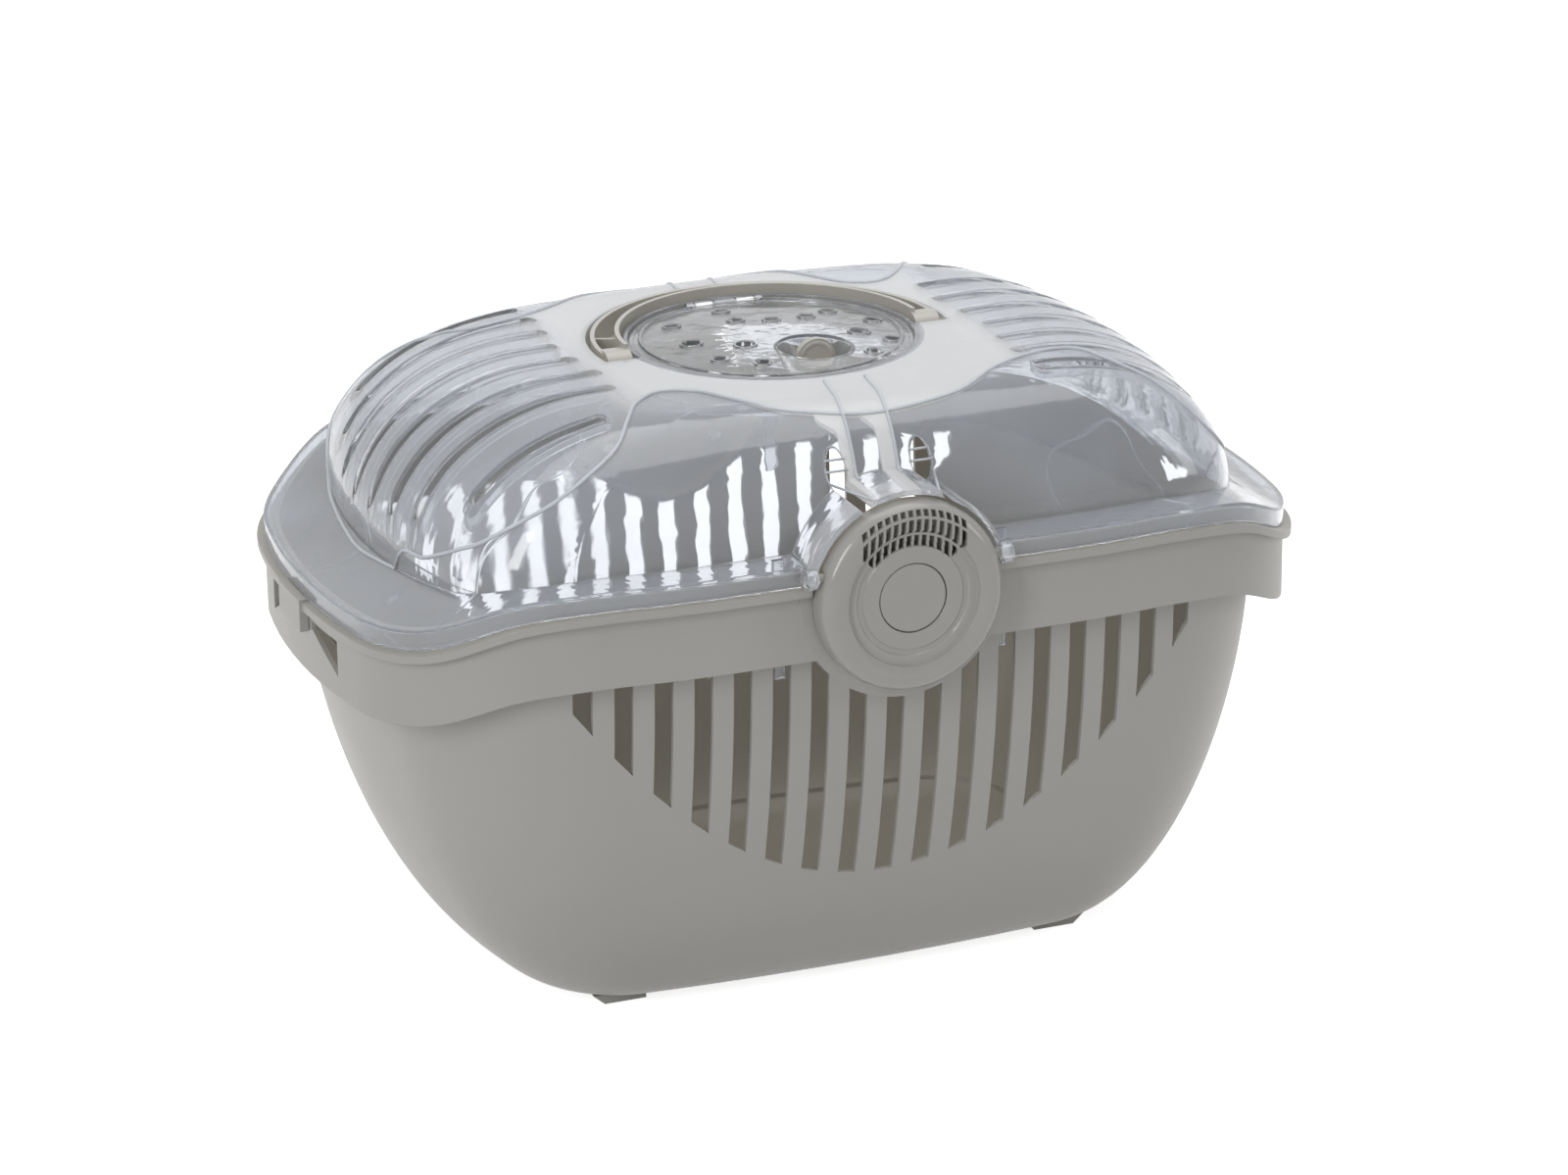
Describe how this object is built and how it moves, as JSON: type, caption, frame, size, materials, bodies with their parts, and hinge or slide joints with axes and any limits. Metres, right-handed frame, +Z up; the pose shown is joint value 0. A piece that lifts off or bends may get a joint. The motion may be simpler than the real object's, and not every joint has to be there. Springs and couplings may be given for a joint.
{
  "type": "pet carrier",
  "caption": "Top-opening plastic pet carrier: slotted tub, clear domed lid with round hatch and swing-up handle, and a round push latch at front and rear.",
  "frame": {"origin": "on the floor, under the middle of the carrier", "axes": "+X along the length, -Y is the front with the pictured latch, +Z up"},
  "size_m": [0.4444, 0.318, 0.2711],
  "materials": {
    "tub_grey": "satin",
    "latch_grey": "gloss",
    "handle_grey": "satin",
    "clear_plastic": "clear plastic",
    "steel": "plated"
  },
  "bodies": {
    "tub": {"base_tub": "tub_grey", "front_latch_cover": "latch_grey", "front_latch_spring": "steel", "front_latch_back_plate": "latch_grey", "front_latch_screws": "steel", "rear_latch_cover": "latch_grey", "rear_latch_spring": "steel", "rear_latch_back_plate": "latch_grey", "rear_latch_screws": "steel"},
    "lid": {"lid_shell": "clear_plastic", "handle_stud_right": "handle_grey", "handle_stud_left": "handle_grey", "hatch_hinge_pin": "steel"},
    "handle": {"carry_handle": "handle_grey"},
    "hatch": {"hatch_window": "clear_plastic"},
    "knob": {"hatch_knob": "handle_grey", "hatch_knob_tongue": "handle_grey", "hatch_knob_screw": "steel"},
    "front_button": {"front_latch_button": "latch_grey"},
    "front_bolt_right": {"front_latch_bolt_right": "latch_grey"},
    "front_bolt_left": {"front_latch_bolt_left": "latch_grey"},
    "rear_button": {"rear_latch_button": "latch_grey"},
    "rear_bolt_right": {"rear_latch_bolt_right": "latch_grey"},
    "rear_bolt_left": {"rear_latch_bolt_left": "latch_grey"}
  },
  "joints": [
    {"name": "lid_hinge", "type": "hinge", "parent": "tub", "child": "lid", "pos_m": [0, 0.1516, 0.209], "axis": [-1, 0, 0], "range_deg": [0, 90]},
    {"name": "handle_swing", "type": "hinge", "parent": "lid", "child": "handle", "pos_m": [0, 0, 0.262], "axis": [1, 0, 0], "range_deg": [0, 90]},
    {"name": "hatch_hinge", "type": "hinge", "parent": "lid", "child": "hatch", "pos_m": [0, 0.0573, 0.2649], "axis": [-1, 0, 0], "range_deg": [0, 75]},
    {"name": "knob_turn", "type": "hinge", "parent": "hatch", "child": "knob", "pos_m": [0.01, -0.026, 0.258], "axis": [0, 0, 1], "range_deg": [0, 90]},
    {"name": "front_button_push", "type": "slide", "parent": "tub", "child": "front_button", "axis": [0, 1, 0], "range_m": [0, 0.003], "stiffness_N_per_m": 400, "deforming": ["front_latch_spring"]},
    {"name": "front_bolt_right_slide", "type": "slide", "parent": "tub", "child": "front_bolt_right", "axis": [-1, 0, 0], "range_m": [0, 0.003]},
    {"name": "front_bolt_left_slide", "type": "slide", "parent": "tub", "child": "front_bolt_left", "axis": [1, 0, 0], "range_m": [0, 0.003]},
    {"name": "rear_button_push", "type": "slide", "parent": "tub", "child": "rear_button", "axis": [0, -1, 0], "range_m": [0, 0.003], "stiffness_N_per_m": 400, "deforming": ["rear_latch_spring"]},
    {"name": "rear_bolt_right_slide", "type": "slide", "parent": "tub", "child": "rear_bolt_right", "axis": [1, 0, 0], "range_m": [0, 0.003]},
    {"name": "rear_bolt_left_slide", "type": "slide", "parent": "tub", "child": "rear_bolt_left", "axis": [-1, 0, 0], "range_m": [0, 0.003]}
  ],
  "couplings": [
    {"joint": "front_bolt_right_slide", "follows": "front_button_push", "ratio": 1},
    {"joint": "front_bolt_left_slide", "follows": "front_button_push", "ratio": 1},
    {"joint": "rear_bolt_right_slide", "follows": "rear_button_push", "ratio": 1},
    {"joint": "rear_bolt_left_slide", "follows": "rear_button_push", "ratio": 1}
  ]
}
